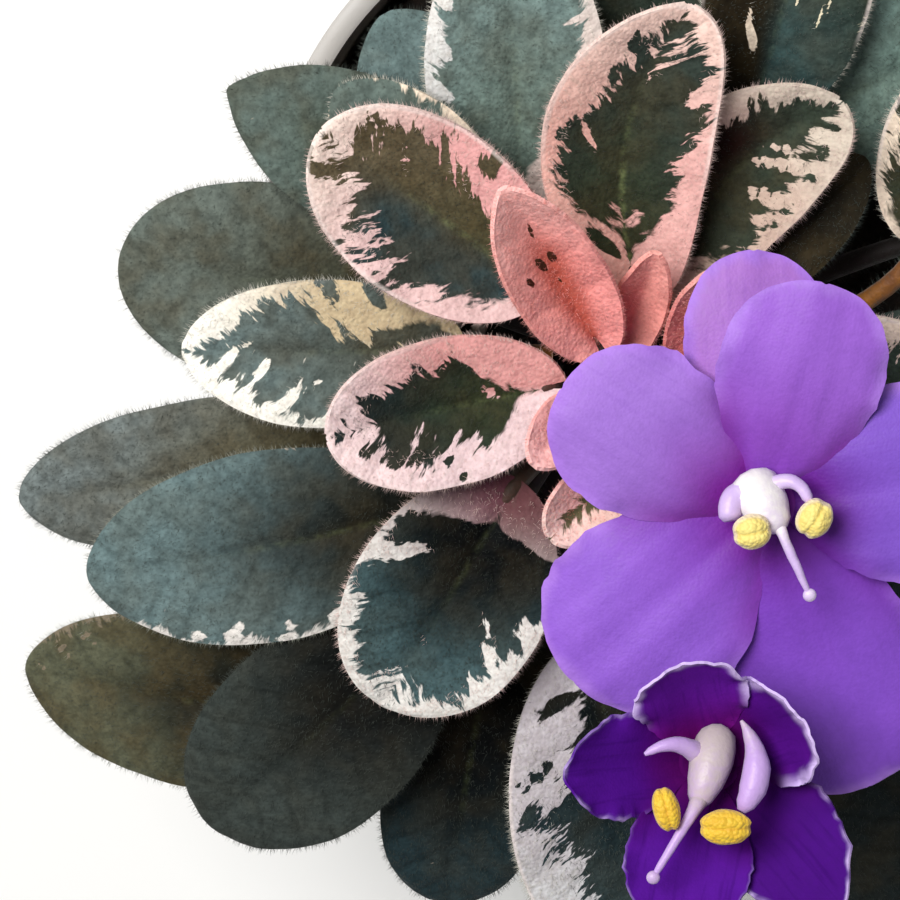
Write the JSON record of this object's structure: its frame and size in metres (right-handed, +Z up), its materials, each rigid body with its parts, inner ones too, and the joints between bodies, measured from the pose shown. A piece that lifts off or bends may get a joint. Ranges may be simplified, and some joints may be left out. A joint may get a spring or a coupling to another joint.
{
  "type": "potted african violet",
  "caption": "A small potted African violet with variegated green, cream and pink leaves, an open light violet bloom and a deep indigo one, in a plain grey plastic pot.",
  "frame": {"origin": "the centre of the pot's flat base, on the surface it stands on", "axes": "+Z points up; +X points to the right of the picture and +Y to its top, and the plant leans over the rim towards -Y"},
  "size_m": [0.1138, 0.1163, 0.1118],
  "materials": {
    "pot_plastic": "plain light grey moulded plastic, satin",
    "potting_soil": "dark crumbly peat, matte",
    "crown_tissue": "brown-green stem, scarred and matte",
    "outer_leaf": "grey-green to near black leaf, velvety",
    "middle_leaf": "blue-green leaf with cream margins, velvety",
    "inner_leaf": "green leaf with broad cream and pink margins, velvety",
    "young_leaf": "salmon to deep pink young leaf, velvety",
    "flower_stem": "olive brown stem and sepals, downy",
    "open_petal": "light violet petal, soft sheen",
    "opening_petal": "deep indigo petal with a pale frilly edge",
    "bloom_column": "white to lilac column, filaments and style",
    "anther": "yellow pollen sac, matte"
  },
  "bodies": {
    "root": {"pot": "pot_plastic", "soil": "potting_soil", "crown": "crown_tissue", "outer_leaf_01": "outer_leaf", "outer_leaf_02": "outer_leaf", "outer_leaf_03": "outer_leaf", "outer_leaf_04": "outer_leaf", "outer_leaf_05": "outer_leaf", "outer_leaf_06": "outer_leaf", "outer_leaf_07": "outer_leaf", "outer_leaf_08": "outer_leaf", "outer_leaf_09": "outer_leaf", "outer_leaf_10": "outer_leaf", "outer_leaf_11": "outer_leaf", "outer_leaf_12": "outer_leaf", "outer_leaf_13": "outer_leaf", "outer_leaf_14": "outer_leaf", "outer_leaf_15": "outer_leaf", "outer_leaf_16": "outer_leaf", "outer_leaf_17": "outer_leaf", "middle_leaf_01": "middle_leaf", "middle_leaf_02": "middle_leaf", "middle_leaf_03": "middle_leaf", "middle_leaf_04": "middle_leaf", "middle_leaf_05": "middle_leaf", "middle_leaf_06": "middle_leaf", "middle_leaf_07": "middle_leaf", "middle_leaf_08": "middle_leaf", "inner_leaf_01": "inner_leaf", "inner_leaf_02": "inner_leaf", "inner_leaf_03": "inner_leaf", "inner_leaf_04": "inner_leaf", "inner_leaf_05": "inner_leaf", "inner_leaf_06": "inner_leaf", "young_leaf_01": "young_leaf", "young_leaf_02": "young_leaf", "young_leaf_03": "young_leaf", "young_leaf_04": "young_leaf", "young_leaf_05": "young_leaf", "flower_stem": "flower_stem", "open_bloom_corolla": "open_petal", "open_bloom_column": "bloom_column", "open_bloom_anther_left": "anther", "open_bloom_anther_right": "anther", "opening_bloom_corolla": "opening_petal", "opening_bloom_column": "bloom_column", "opening_bloom_anther_left": "anther", "opening_bloom_anther_right": "anther"}
  },
  "joints": []
}
